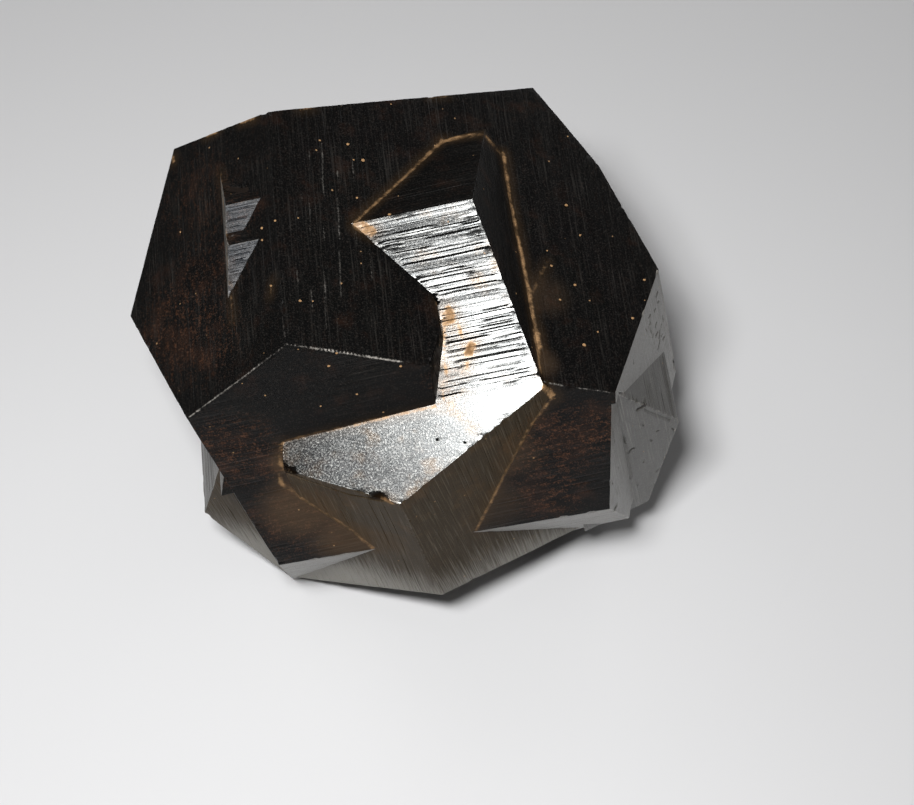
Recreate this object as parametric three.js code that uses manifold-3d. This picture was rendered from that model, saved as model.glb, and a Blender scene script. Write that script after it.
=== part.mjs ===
import * as THREE from 'three';
import { mergeVertices } from 'three/addons/utils/BufferGeometryUtils.js';
import Module from 'manifold-3d';

const wasm = await Module();
wasm.setup();

// Frame: the crystals are built along their own axes, in millimetres, then turned to rest on a table.
// A face is [direction, distance]: its outward normal and its distance from the crystal centre.
// The ideal form has normals (0, 1, 2) in cyclic order; the real faces are steeper and lean a degree or two.

const STEEP = 2.3;
const BLOCK = 90;
const BURIED = 0.06;

// Rest: the up direction and the direction away from the viewer, along the crystal axes
const UP = new THREE.Vector3(0.2239, 0.0731, 0.9719).normalize();
const AWAY = new THREE.Vector3(0.1488, 0.9829, -0.1082);
const REST_DISTANCE = 16.25;

// Host crystal
const TOP_LEFT = [[-1, -0.02, 2.08], 18.55];
const TOP_RIGHT = [[1, -0.04, 2.17], 18.55];
const FRONT_UPPER = [[0.065, -2.64, 1], 17.55];
const FRONT_LOWER = [[-0.04, -3.1, -1], 18.18];
const BACK_UPPER = [[-0.01, 2.3, 1], 17.55];
const BACK_LOWER = [[0, STEEP, -1], 17.55];
const RIGHT_BACK = [[1.88, 1, 0], 24.7];
const RIGHT_BACK_STEEP = [[3.22, 1, 0], 25.31];
const RIGHT_FRONT = [[2.23, -1, 0.07], 26.62];
const RIGHT_FRONT_LOW = [[2.28, -1, -0.04], 25.9];
const RIGHT_BEVEL = [[1, 0, 0], 27.55];
const LEFT_FRONT = [[-2.36, -1, 0.06], 14.05];
const LEFT_BACK = [[-2.63, 1, 0], 12.87];
const UNDER_LEFT = [[-1, 0, -STEEP], 18.5];
const UNDER_RIGHT = [[1, 0, -STEEP], 18.5];

// Twin crystal, a quarter turn from the host about the same axes
const TWIN_TOP_FRONT = [[-0.05, -1, 2.37], 16.59];
const TWIN_TOP_BACK = [[-0.02, 1, 2.5], 16.69];
const TWIN_RIGHT = [[2.24, 0.01, 1], 20.73];
const TWIN_RIGHT_LOWER = [[STEEP, 0, -1], 22.6];
const TWIN_FRONT_RIGHT = [[1, -2.11, 0.1], 20.8];
const TWIN_FRONT_LEFT = [[-1, -2.15, 0.13], 16.76];
const TWIN_UNDER_FRONT = [[0, -0.75, -1], 18.6];
const TWIN_UNDER_BACK = [[0, 0.75, -1], 18.6];
const TWIN_LEFT_WALL = [[-1, 0.19, 0], 0.47];
const TWIN_BACK_WALL = [[-0.05, 1, 0.15], 9.95];
const TWIN_CORNER_WALL = [[0.79, 0.6, 0], 18.1];

// The twin's outlying right part
const OUTER_RIGHT = [[2.31, 0.03, 1], 23.83];
const OUTER_RIGHT_LOWER = [[2.87, 0, -1], 26.05];
const OUTER_RIGHT_BEVEL = [[1, 0, 0], 26.8];
const OUTER_FRONT_RIGHT = [[1, -2.25, 0], 21.9];
const OUTER_BACK_RIGHT = [[1, STEEP, 0], 9];
const OUTER_RIGHT_END = [[-1, 0, 0], -17.2];

// The twin's outlying left part
const OUTER_LEFT = [[-STEEP, 0, 1], 11.9];
const OUTER_LEFT_LOWER = [[-STEEP, 0, -1], 13.3];
const OUTER_BACK_LEFT = [[-1, STEEP, 0], 4.5];
const OUTER_LEFT_END = [[1, 0, 0], 3];

// Small twin parts that stand out of the host's top left face, the back one first
const WINDOW_LEFT = [[-STEEP, 0, 1], 11.8];
const WINDOW_RIGHT_END = [[1, 0, 0], 0];
const WINDOW_BOTTOM = [[0, 0, -1], -8];
const WINDOW_BACK_STEP = [[[0, -1, 2.37], 17.35], [[0, 1, 2.5], 19.5]];
const WINDOW_FRONT_STEP = [[[0, -1, 2.37], 18.5], [[0, 1, 2.5], 17.95]];

// Twin part behind the host
const REAR = [
  [[1, STEEP, 0], 18.5], [[-1, STEEP, 0], 14], [[0, 1, STEEP], 7], [[0, 1, -STEEP], 13],
  [[0, -1, 0], 0], [[-1, 0, 0], 8], [[1, 0, 0], 18],
];

// The right front face steps in below this ledge
const LEDGE_TOP = [[0, 0, 1], 8.7];
const LEDGE_LEFT_END = [[-1, 0, 0], -15];
const LEDGE_FRONT = [[0, 1, 0.436], -9.35];

// The broken corner's cliff, its depth into the twin's top front face, and how far back it reaches
const CLIFFS = [[[-1, 0, 0], -10.5], [[-0.95, 0.32, 0], -12.95], [[-0.97, -0.26, 0], -8.35]];
const CLIFF_DEPTH = 0.4;
const CLIFF_BACK_END = [[0, 1, 0], -2];

function solid(geometry) {
  const bare = geometry.clone();
  bare.deleteAttribute('normal');
  bare.deleteAttribute('uv');
  const merged = mergeVertices(bare);
  return new wasm.Manifold(new wasm.Mesh({
    numProp: 3,
    vertProperties: new Float32Array(merged.attributes.position.array),
    triVerts: new Uint32Array(merged.index.array),
  }));
}

function trim(body, [direction, distance]) {
  const n = new THREE.Vector3(...direction).normalize();
  return body.trimByPlane([-n.x, -n.y, -n.z], -distance);
}

// A crystal is a block trimmed by each of its faces
function crystal(...faces) {
  return faces.reduce(trim, solid(new THREE.BoxGeometry(BLOCK, BLOCK, BLOCK)));
}

// The same face a little deeper, for a twin part that stays buried under it
function beneath([direction, distance]) {
  return [direction, distance - BURIED];
}

// The space outside a face, starting a little below it
function beyond([direction, distance], depth) {
  return [direction.map((value) => -value), depth - distance];
}

function lowerRightLedge() {
  return crystal(LEDGE_TOP, LEDGE_LEFT_END, LEDGE_FRONT).subtract(crystal(RIGHT_FRONT_LOW));
}

// The host's corner over the twin's top front face is broken off along a short curved cliff
function brokenCorner() {
  const floor = beyond(TWIN_TOP_FRONT, CLIFF_DEPTH);
  return CLIFFS.map((cliff) => crystal(floor, CLIFF_BACK_END, cliff)).reduce((a, b) => a.add(b));
}

function host() {
  const whole = crystal(
    TOP_LEFT, TOP_RIGHT, FRONT_UPPER, FRONT_LOWER, BACK_UPPER, BACK_LOWER, RIGHT_BACK, RIGHT_BACK_STEEP,
    RIGHT_FRONT, RIGHT_BEVEL, LEFT_FRONT, LEFT_BACK, UNDER_LEFT, UNDER_RIGHT,
  );
  return whole.subtract(lowerRightLedge());
}

function twinMiddle() {
  return crystal(
    TWIN_TOP_FRONT, TWIN_TOP_BACK, TWIN_RIGHT, TWIN_RIGHT_LOWER, TWIN_FRONT_RIGHT, TWIN_FRONT_LEFT,
    TWIN_UNDER_FRONT, TWIN_UNDER_BACK, TWIN_LEFT_WALL, TWIN_BACK_WALL, TWIN_CORNER_WALL,
  );
}

function twinRight() {
  return crystal(
    OUTER_RIGHT, OUTER_RIGHT_LOWER, OUTER_FRONT_RIGHT, OUTER_BACK_RIGHT, OUTER_RIGHT_BEVEL,
    OUTER_RIGHT_END, TWIN_UNDER_FRONT, TWIN_UNDER_BACK, beneath(TOP_RIGHT), beneath(FRONT_UPPER),
  );
}

function twinLeft() {
  return crystal(
    OUTER_LEFT, OUTER_LEFT_LOWER, TWIN_FRONT_LEFT, OUTER_BACK_LEFT, OUTER_LEFT_END,
    TWIN_UNDER_FRONT, TWIN_UNDER_BACK, beneath(TOP_LEFT), beneath(FRONT_UPPER), beneath(TOP_RIGHT),
  );
}

function twinWindow(faces) {
  return crystal(
    WINDOW_LEFT, ...faces, WINDOW_RIGHT_END, WINDOW_BOTTOM, beneath(FRONT_UPPER), beneath(BACK_UPPER),
  );
}

function twinRear() {
  return crystal(...REAR);
}

function cluster() {
  const broken = host().add(twinRight()).add(twinLeft()).subtract(brokenCorner());
  const twins = [twinMiddle(), twinWindow(WINDOW_BACK_STEP), twinWindow(WINDOW_FRONT_STEP), twinRear()];
  const grown = twins.reduce((a, b) => a.add(b), broken);
  return trim(grown, [UP.clone().negate().toArray(), REST_DISTANCE]);
}

function geometryOf(body) {
  const mesh = body.getMesh();
  const geometry = new THREE.BufferGeometry();
  geometry.setAttribute('position', new THREE.BufferAttribute(new Float32Array(mesh.vertProperties), 3));
  geometry.setIndex(new THREE.BufferAttribute(new Uint32Array(mesh.triVerts), 1));
  return geometry;
}

// Turns the crystal axes so that UP is +Z and AWAY lies over +Y, then centres the footprint on the origin
function rest(mesh) {
  const right = new THREE.Vector3().crossVectors(AWAY, UP).normalize();
  const back = new THREE.Vector3().crossVectors(UP, right);
  const turn = new THREE.Matrix4().makeBasis(right, back, UP).transpose();
  mesh.geometry.applyMatrix4(turn);
  mesh.geometry.computeBoundingBox();
  const box = mesh.geometry.boundingBox;
  mesh.position.set(-(box.min.x + box.max.x) / 2, -(box.min.y + box.max.y) / 2, -box.min.z);
}

const crystals = new THREE.Mesh(
  geometryOf(cluster()),
  new THREE.MeshStandardMaterial({ color: 0x2a201a, roughness: 0.42, metalness: 0.55 }),
);
crystals.name = 'crystal_cluster';
rest(crystals);

const specimen = new THREE.Group();
specimen.add(crystals);

export default specimen;
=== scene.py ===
import math
from functools import partial
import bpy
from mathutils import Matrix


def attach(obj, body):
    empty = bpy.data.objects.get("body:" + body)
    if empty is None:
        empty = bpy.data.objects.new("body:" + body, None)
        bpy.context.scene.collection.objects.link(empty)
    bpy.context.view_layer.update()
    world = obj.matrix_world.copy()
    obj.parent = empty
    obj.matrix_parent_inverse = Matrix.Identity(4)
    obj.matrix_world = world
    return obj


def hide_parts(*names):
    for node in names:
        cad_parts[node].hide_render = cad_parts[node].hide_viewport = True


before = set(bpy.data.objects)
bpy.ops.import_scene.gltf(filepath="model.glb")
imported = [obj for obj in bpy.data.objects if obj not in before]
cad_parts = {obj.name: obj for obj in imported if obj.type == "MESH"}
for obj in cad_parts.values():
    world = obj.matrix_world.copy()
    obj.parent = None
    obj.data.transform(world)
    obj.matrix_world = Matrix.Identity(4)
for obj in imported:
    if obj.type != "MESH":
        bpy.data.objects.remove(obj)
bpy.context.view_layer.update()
from types import SimpleNamespace

import bmesh
import bpy
import numpy as np
from mathutils import Matrix, Vector
from mathutils.geometry import delaunay_2d_cdt

# Sizes and places in this script are in millimetres unless a comment says otherwise
MM = 0.001
NODE = "crystal_cluster"

# Crystal axes in the row frame, and the crystals' common centre
UP = np.array([0.2239, 0.0731, 0.9719])
UP = UP / np.linalg.norm(UP)
AWAY = np.array([0.1488, 0.9829, -0.1082])
RIGHT = np.cross(AWAY, UP)
RIGHT = RIGHT / np.linalg.norm(RIGHT)
TURN = np.array([RIGHT, np.cross(UP, RIGHT), UP])
CENTRE = np.array([-6.278, -0.647, 16.25])

# Camera: its place, its right, down and forward directions, and its lens
CAMERA_PLACE = (3.71, -83.73, 136.87)
CAMERA_RIGHT = (0.9984, 0.0474, 0.0307)
CAMERA_DOWN = (0.0565, -0.8380, -0.5427)
CAMERA_FORWARD = (0.0, 0.5436, -0.8393)
CAMERA_CLIP = (5, 10000)
FOCAL_PIXELS = 1700
IMAGE_WIDTH = 914
SENSOR = 36

# Round soft lights that face the object: name, place, width across, and power in watts
LIGHTS = [
    ("key", (-28, -72, 160), 22, 0.125),
    ("fill", (-9, -73, 153), 18, 0.155),
    ("rear right", (120, 260, 110), 160, 0.11),
    ("rear left", (-217, 122, 245), 160, 0.08),
]
LIGHT_AIM = (0, 0, 20)
ROOM_COLOUR = "#cfcdcb"
ROOM_STRENGTH = 0.115
FLOOR_COLOUR = "#e2e2e3"
FLOOR_HALF_WIDTH = 1200

# Growth steps and finish of each crystal face: outward direction along the crystal axes, distance from the
# centre, finish, mean step width, step depth, share of the face that is stepped
FACES = [
    ((-1, -0.02, 2.08), 18.55, "dull", 0.60, 0.012, 0.5),
    ((1, -0.04, 2.17), 18.55, "dull", 0.50, 0.018, 0.8),
    ((0.065, -2.64, 1), 17.55, "dull", 0.45, 0.010, 0.4),
    ((-0.04, -3.1, -1), 18.18, "pale", 0.40, 0.030, 0.8),
    ((-0.01, 2.3, 1), 17.55, "dull", 0.50, 0.025, 0.7),
    ((2.23, -1, 0.07), 26.62, "pale", 0.55, 0.014, 0.4),
    ((2.28, -1, -0.04), 25.9, "pale", 0.55, 0.016, 0.4),
    ((-0.05, -1, 2.37), 16.59, "bright", 0.31, 0.036, 0.9),
    ((-0.02, 1, 2.5), 16.69, "dull", 0.44, 0.012, 0.5),
    ((2.24, 0.01, 1), 20.73, "dull", 0.40, 0.020, 0.6),
    ((1, -2.11, 0.1), 20.8, "olive", 0.42, 0.022, 0.7),
    ((-1, -2.15, 0.13), 16.76, "olive", 0.42, 0.024, 0.7),
    ((2.31, 0.03, 1), 23.83, "grey", 0.42, 0.022, 0.6),
    ((1, -2.25, 0), 21.9, "grey", 0.42, 0.020, 0.5),
    ((-2.3, 0, 1), 11.9, "grey", 0.45, 0.022, 0.6),
    ((-2.36, -1, 0.06), 14.05, "dull", 0.45, 0.025, 0.6),
    ((0, -1, 2.37), 17.35, "steel", 0.23, 0.045, 0.95),
    ((0, -1, 2.37), 18.5, "steel", 0.23, 0.045, 0.95),
]

# Any face that isn't listed: the plain dull finish with the same kind of steps
OTHER_FACE = ("dull", 0.5, 0.022, 0.6)

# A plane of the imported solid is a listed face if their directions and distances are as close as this
SAME_DIRECTION = 0.9995
SAME_DISTANCE = 0.12

# The bright face carries growth steps only behind these places along the crystals' middle axis
BRIGHT_STEPS_BEHIND = (-14.2, -13.4)

# The finishes. metal, roughness, refraction and gloss go to the shader. speckle is the share of pale specks,
# which on the dull dark faces are painted glints. line_depth and grain_depth are the relief of the growth
# lines and of the grain, greying is how far the face turns grey near the ground, and the edge entry is how
# far its
# edges are painted pale: rubbed wear, and painted highlight along the edge bevels
FINISHES = {
    # Altered right through to brown-black iron oxide: nearly black, with a faint gleam only
    "dull": {
        "name": "oxidised pyrite, dull dark face",
        "dark": "#050505", "warm": "#24160f", "pale": "#4a4743",
        "metal": 0.0, "roughness": 0.36, "refraction": 1.5, "gloss": 0.15, "speckle": 0.22,
        "line_depth": 0.018, "grain_depth": 0.008, "greying": 0.0, "edge_wear_and_highlight": 0.0},
    # A skin of dried clay rubbed into the oxide: matt olive brown, greyer towards the ground
    "olive": {
        "name": "oxidised pyrite, olive-brown side face",
        "dark": "#33291a", "warm": "#4c3820", "pale": "#74664f",
        "metal": 0.0, "roughness": 0.50, "refraction": 1.5, "gloss": 0.10, "speckle": 0.22,
        "line_depth": 0.020, "grain_depth": 0.010, "greying": 0.9, "edge_wear_and_highlight": 0.08},
    # Oxide handled and rubbed: a grainy grey with a soft stony sheen
    "grey": {
        "name": "oxidised pyrite, rubbed grey side face",
        "dark": "#363531", "warm": "#29241e", "pale": "#8b8981",
        "metal": 0.0, "roughness": 0.42, "refraction": 1.8, "gloss": 0.50, "speckle": 0.50,
        "line_depth": 0.026, "grain_depth": 0.018, "greying": 0.0, "edge_wear_and_highlight": 0.38},
    # Rubbed the most: pale, coarse and mottled, with brown left in the hollows
    "pale": {
        "name": "oxidised pyrite, rubbed pale side face",
        "dark": "#5d5b55", "warm": "#40372d", "pale": "#aaa8a0",
        "metal": 0.0, "roughness": 0.40, "refraction": 2.0, "gloss": 0.50, "speckle": 0.55,
        "line_depth": 0.018, "grain_depth": 0.020, "greying": 0.0, "edge_wear_and_highlight": 0.55},
    # The thinnest oxide film, over metal that still shines: dark with broad silvery glints along the steps
    "bright": {
        "name": "oxidised pyrite, bright stepped face",
        "dark": "#383939", "warm": "#43372a", "pale": "#878784",
        "metal": 1.0, "roughness": 0.24, "refraction": 1.5, "gloss": 0.50, "speckle": 0.50,
        "line_depth": 0.010, "grain_depth": 0.0085, "greying": 0.0, "edge_wear_and_highlight": 0.0},
    # A dense blue-grey oxide film on fine steps: a cool, broken sheen
    "steel": {
        "name": "oxidised pyrite, blue-grey stepped face",
        "dark": "#202225", "warm": "#241e19", "pale": "#6f7378",
        "metal": 0.0, "roughness": 0.34, "refraction": 1.8, "gloss": 0.20, "speckle": 0.60,
        "line_depth": 0.034, "grain_depth": 0.012, "greying": 0.0, "edge_wear_and_highlight": 0.20},
}
FINISH_ORDER = list(FINISHES)

# A face whose pale edge rims (rubbed wear with painted highlight) are stronger than this also shows brown in
# the hollows between its pale grains
MUCH_RUBBED = 0.3

# Roughness under dust and under the painted shade in the pits
MATT_ROUGHNESS = 0.85
RUST_ORANGE = "#5f3d28"
BROWN_FILM = "#584532"
# Paler grey that a face turns towards the ground
GROUND_GREY = "#8f8d87"
# Pale of the rubbed edges and streaks, and of the painted highlight along the edge bevels
PALE_WEAR_AND_HIGHLIGHT = "#b9b4ac"
# Dark brown painted shade in the pits, cracks and bites
PIT_SHADE = "#1d1611"
DUST_DARK = "#7a5c3f"
DUST_PALE = "#b89369"
DUST_HAZE = "#46341f"

# Patterns drawn out along the growth lines: length, width, noise detail and roughness. Real growth lines can
# lie closer than 0.05 mm. These are 0.14 mm wide, the finest that the render still shows
LINED_PATTERNS = {
    "lines": (5.0, 0.14, 4.0, 0.6),
    "bands": (11.0, 1.6, 3.0, 0.6),
    "streaks": (1.25, 0.38, 5.0, 0.7),
}

# Patterns that spread evenly: size, noise detail and roughness. The oxide's own grain is about 0.03 mm. Its
# specks are drawn at 0.13 mm so that the render shows them
EVEN_PATTERNS = {
    "blotches": (2.4, 5.0, 0.62),
    "crumbs": (0.7, 4.0, 0.65),
    "specks": (0.13, 3.0, 0.7),
    "flecks": (0.24, 4.0, 0.75),
}

# Where each mark fades in: distances from its line or edge, and how far the noise makes its outline ragged
EDGE_FADE, EDGE_RAGGED = (0.13, 0.0), 0.4
WORN_FADE, WORN_RAGGED = (0.07, -0.06), 0.35
PIT_FADE = (0.07, -0.02)
DUST_FADE, HAZE_FADE = (0.16, -0.08), (1.0, -0.2)
DUST_RAGGED_FINE, DUST_RAGGED_COARSE = 0.12, 0.30

# Heights between which the paler grey near the ground fades out
GREY_FADE = (2.5, 15.0)

# Stuck specks of dust: one cell each this far apart, the share of cells left empty, and a speck's outline
# measured in cells
SPOT_SPACING = 1.3
SPOTLESS_SHARE = 0.55
SPOT_FADE = (0.07, 0.03)
SPOT_RAGGED = 0.12
SPOT_COVER = 0.6

# Noise of the dried dust's crumbs. Real clay is far finer than 0.08 mm, which is the finest that shows
CRUMB_SIZE = 0.08
CRUMB_RELIEF = 0.03

# Creases that hold dust, along the crystal axes: the points of a line, its half width, and the share of dust.
# The last two are streaks wiped over the dark top face
DUST_LINES = [
    ([(17.1, 7.3, 12.7), (17.0, 2.7, 12.7), (17.2, -2.9, 12.5), (17.3, -9.2, 12.3), (17.2, -13.0, 12.5)],
     0.10, 0.8),
    ([(17.3, -9.4, 12.3), (17.3, -10.6, 12.3)], 0.26, 0.9),
    ([(5.4, 0.0, 18.0), (9.0, 4.0, 16.4), (12.6, 8.2, 14.8)], 0.07, 0.7),
    ([(12.6, 8.2, 14.8), (14.4, 8.2, 14.8), (16.1, 7.7, 14.6), (17.1, 7.3, 12.9)], 0.20, 0.85),
    ([(10.5, -7.0, 15.5), (10.7, -8.2, 14.8), (10.2, -11.7, 13.3), (9.5, -13.9, 12.4)], 0.05, 0.45),
    ([(11.2, -7.6, 15.1), (11.4, -8.3, 14.8)], 0.26, 0.75),
    ([(11.7, -8.9, 14.6), (11.9, -9.6, 14.3)], 0.14, 0.6),
    ([(12.5, -10.3, 13.9), (12.1, -10.9, 13.7)], 0.24, 0.9),
    ([(11.8, -11.5, 13.4), (11.5, -12.1, 13.2)], 0.14, 0.7),
    ([(5.6, -0.4, 18.0), (6.5, -1.0, 17.7)], 0.35, 0.7),
    ([(-3.3, -14.3, 11.9), (-4.4, -15.8, 8.2)], 0.14, 0.6),
    ([(-4.5, -15.8, 8.1), (-2.3, -17.2, 4.9), (-0.8, -18.0, 2.9), (0.6, -18.9, -0.3)], 0.14, 0.6),
    ([(17.3, -14.2, 12.2), (17.7, -14.3, 10.6)], 0.22, 0.8),
    ([(17.7, -14.3, 10.6), (15.2, -15.4, 8.3), (12.0, -17.2, 3.5), (9.1, -18.9, -0.8)], 0.08, 0.6),
    ([(-2.9, -14.3, 12.0), (1.4, -14.2, 12.1), (6.2, -14.0, 12.2), (9.1, -14.0, 12.3)], 0.04, 0.35),
    ([(-4.9, 7.1, 18.3), (-4.5, 0.9, 19.2), (-4.6, -3.9, 18.4)], 0.05, 0.4),
    ([(17.3, -6.5, 12.4), (18.3, -4.2, 11.9), (19.1, -3.0, 11.6)], 0.05, 0.5),
    ([(3.7, -19.6, 9.7), (4.3, -19.8, 9.4)], 0.16, 0.8),
    ([(-5.9, 11.4, 17.9), (-4.9, 11.3, 18.3)], 0.16, 0.9),
    ([(-2.6, 10.7, 19.5), (-1.4, 10.3, 20.1)], 0.14, 0.8),
    ([(-9.4, 11.2, 16.2), (-9.3, 10.8, 16.2)], 0.14, 0.7),
    ([(2.3, 10.5, 19.6), (3.2, 10.7, 19.2)], 0.06, 0.5),
    ([(12.1, 12.6, 15.1), (13.4, 12.8, 14.5)], 0.06, 0.5),
    ([(-4.67, -4.54, 18.29), (-4.64, -6.68, 18.29)], 0.0, 0.55),
    ([(-0.98, -5.14, 20.06), (-1.26, -6.32, 19.92)], 0.0, 0.50),
]

# Edges that are rubbed pale, and faint pale streaks along the growth lines: the points of a line along the
# crystal axes, its half width, and how much
WORN_LINES = [
    ([(-0.2, -10.9, 20.2), (3.3, -11.5, 18.7), (7.3, -12.2, 16.8), (9.5, -12.2, 14.9)], 0.06, 0.95),
    ([(-9.2, -12.9, 16.0), (-4.4, -11.9, 18.3), (-0.4, -11.0, 20.3)], 0.02, 0.75),
    ([(-0.29, 9.51, 20.53), (-0.51, 4.73, 20.39), (-0.61, -0.78, 20.28), (-0.53, -6.17, 20.27),
      (-0.29, -10.42, 20.34)], 0.01, 0.22),
    ([(17.6, -13.8, 12.0), (19.8, -14.2, 10.9), (21.9, -14.5, 9.9)], 0.04, 0.8),
    ([(2.63, 6.59, 19.34), (1.99, -3.60, 19.45), (1.55, -10.13, 19.53)], 0.02, 0.28),
    ([(3.72, 8.61, 18.87), (3.10, -1.0, 18.97), (2.53, -9.67, 19.08)], 0.02, 0.26),
    ([(4.50, 4.82, 18.44), (3.78, -7.04, 18.56)], 0.02, 0.28),
    ([(5.75, 6.82, 17.90), (5.28, -2.54, 17.95)], 0.01, 0.22),
    ([(6.43, 3.05, 17.52), (6.09, -5.19, 17.52)], 0.0, 0.20),
    ([(2.05, 7.51, 19.62), (1.77, 1.83, 19.64)], 0.0, 0.22),
    ([(1.28, 0.88, 19.85), (0.70, -9.73, 19.92)], 0.02, 0.22),
]

# Small pits and cracks along the crystal axes: the points of a line, its half width, and how dark the painted
# shade in it is
PIT_LINES = [
    ([(26.02, -6.65, 5.85), (26.06, -6.60, 5.39)], 0.05, 0.9),
    ([(25.93, -6.86, 5.58), (25.81, -7.12, 5.66)], 0.04, 0.8),
    ([(25.93, -6.92, 4.99), (25.98, -6.83, 4.38)], 0.06, 1.0),
    ([(25.56, -7.64, 6.40), (25.62, -7.54, 5.94)], 0.04, 0.7),
    ([(26.54, -5.65, 3.50), (26.45, -5.86, 3.48)], 0.05, 0.9),
    ([(26.54, -5.76, 2.15), (26.32, -6.22, 2.40)], 0.05, 0.9),
    ([(26.73, -5.36, 1.65), (26.63, -5.62, 1.25), (26.53, -5.84, 1.22)], 0.06, 1.0),
    ([(26.59, -5.75, 0.70), (26.51, -5.92, 0.66)], 0.05, 0.9),
    ([(26.87, -5.12, 0.47), (26.77, -5.35, 0.54)], 0.04, 0.8),
    ([(27.05, -4.80, -0.54), (26.89, -5.14, -0.34)], 0.06, 1.0),
    ([(26.45, -6.06, 0.58), (26.31, -6.38, 0.55)], 0.05, 0.9),
    ([(27.10, -4.25, 5.89), (26.97, -4.54, 5.92)], 0.06, 0.9),
    ([(27.08, -4.37, 4.63), (26.94, -4.65, 4.92)], 0.04, 0.8),
    ([(26.17, -6.29, 6.11), (26.04, -6.57, 6.26)], 0.04, 0.7),
    ([(26.69, -5.22, 5.01), (26.54, -5.53, 5.22)], 0.04, 0.8),
    ([(27.14, -4.41, 2.21), (27.20, -4.31, 1.57)], 0.05, 0.8),
    ([(24.12, -10.78, 7.42), (24.13, -10.78, 6.90)], 0.04, 0.7),
    ([(26.94, -4.89, 1.67), (26.88, -5.02, 1.59)], 0.04, 0.8),
    ([(26.09, -6.67, 3.47), (25.99, -6.88, 3.44)], 0.04, 0.7),
    ([(22.36, -14.03, 3.55), (22.21, -14.09, 0.99)], 0.03, 0.5),
    ([(22.21, -14.09, 0.99), (22.07, -14.15, -1.67), (22.06, -14.16, -3.94), (21.99, -14.19, -6.53)],
     0.06, 0.95),
    ([(22.29, -14.06, -2.00), (22.56, -13.94, -1.60), (22.79, -13.84, -1.66)], 0.03, 0.9),
    ([(23.74, -13.32, 4.04), (24.07, -13.09, 4.01), (24.31, -12.93, 3.98)], 0.20, 1.0),
    ([(23.88, -13.35, 3.88), (24.15, -13.14, 3.87)], 0.06, 0.9),
    ([(24.30, -13.17, 3.47), (24.62, -13.02, 2.52), (24.98, -12.86, 1.74), (25.60, -12.59, 0.33),
      (26.09, -12.37, -0.82)], 0.07, 0.8),
    ([(26.14, -12.35, -2.50), (26.36, -12.25, -3.17)], 0.04, 0.8),
    ([(21.57, -15.52, 5.01), (21.51, -15.62, 4.40)], 0.05, 1.0),
    ([(21.56, -15.56, 5.92), (21.54, -15.60, 5.51)], 0.03, 0.7),
    ([(20.67, -17.40, 1.13), (20.64, -17.44, 0.25)], 0.04, 0.8),
    ([(20.28, -18.11, -3.57), (20.50, -17.59, -3.84)], 0.10, 1.0),
    ([(24.19, -13.21, -2.01), (24.31, -13.16, -2.36)], 0.03, 0.6),
    ([(23.40, -13.57, -4.81), (23.31, -13.60, -5.23)], 0.03, 0.6),
    ([(24.86, -12.92, -1.32), (25.03, -12.84, -1.37)], 0.03, 0.6),
    ([(24.39, -13.12, -8.23), (24.23, -13.20, -8.34)], 0.03, 0.6),
    ([(22.45, -13.99, -8.23), (22.45, -13.99, -8.79)], 0.03, 0.6),
    ([(21.31, -15.89, -0.06), (21.32, -15.86, -0.61)], 0.03, 0.7),
    ([(20.78, -17.03, -2.09), (20.76, -17.04, -2.74)], 0.03, 0.7),
    ([(23.84, -13.37, 1.28), (23.91, -13.34, 0.99)], 0.03, 0.6),
    # Painted shade over a recess, and in the gap between two steps
    ([(-4.0, 4.85, 19.05), (-2.7, 4.15, 19.35)], 0.30, 0.9),
    ([(-4.05, 0.15, 19.28), (-3.0, -0.15, 19.42)], 0.10, 0.8),
    ([(8.58, -16.3, 11.3), (8.62, -16.3, 11.3)], 0.03, 0.6),
    ([(10.58, -16.9, 11.1), (10.62, -16.9, 11.1)], 0.03, 0.6),
]

# The edge under the bright face that broke away in small bites, along the crystal axes. The bites are
# darkened with painted shade
BROKEN_LINE = [
    (-4.2, -15.6, 11.2), (-3.5, -16.2, 10.7), (-1.7, -17.1, 10.0), (1.1, -18.5, 9.2), (3.7, -19.5, 9.5),
    (5.1, -20.2, 9.3),
]

# Smooth brown film beside the creases, along the crystal axes: middle, radius, and how much
FILM_PLACES = [
    ((-3.6, -16.8, 5.2), 4.5, 0.8), ((-1.0, -18.2, 1.4), 4.0, 0.8), ((-2.0, -17.0, 6.5), 3.0, 0.6),
    ((2.0, -18.6, 1.5), 3.0, 0.5), ((13.6, -16.3, 6.0), 3.0, 0.35), ((11.0, -17.8, 1.5), 3.5, 0.35),
    ((-3.6, -15.0, 10.0), 1.6, 0.8), ((18.6, -6.0, 11.8), 2.5, 0.25), ((17.6, -12.0, 12.0), 1.5, 0.4),
]

# Rusty patches along the crystal axes: middle, radius, and how much
RUST_PLACES = [
    ((-9.5, -4.6, 16.0), 6.5, 0.60), ((-7.0, -7.5, 17.2), 4.5, 0.50),
    ((-7.2, 6.0, 17.2), 5.5, 0.30), ((-6.4, -0.5, 17.5), 5.5, 0.35),
    ((-7.0, -14.3, 12.0), 5.0, 0.9), ((-4.1, -17.3, 4.1), 6.0, 0.8), ((-5.4, -14.6, 10.8), 3.5, 1.0),
    ((16.5, -16.1, 6.0), 5.5, 1.0), ((20.0, -15.6, 6.5), 4.0, 1.0), ((15.5, -17.8, 1.6), 4.0, 1.0),
    ((-1.5, -17.5, 8.0), 3.5, 0.5), ((-3.5, 2.0, 19.0), 3.0, 0.4), ((9.8, -12.5, 14.0), 2.0, 0.5),
]

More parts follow.
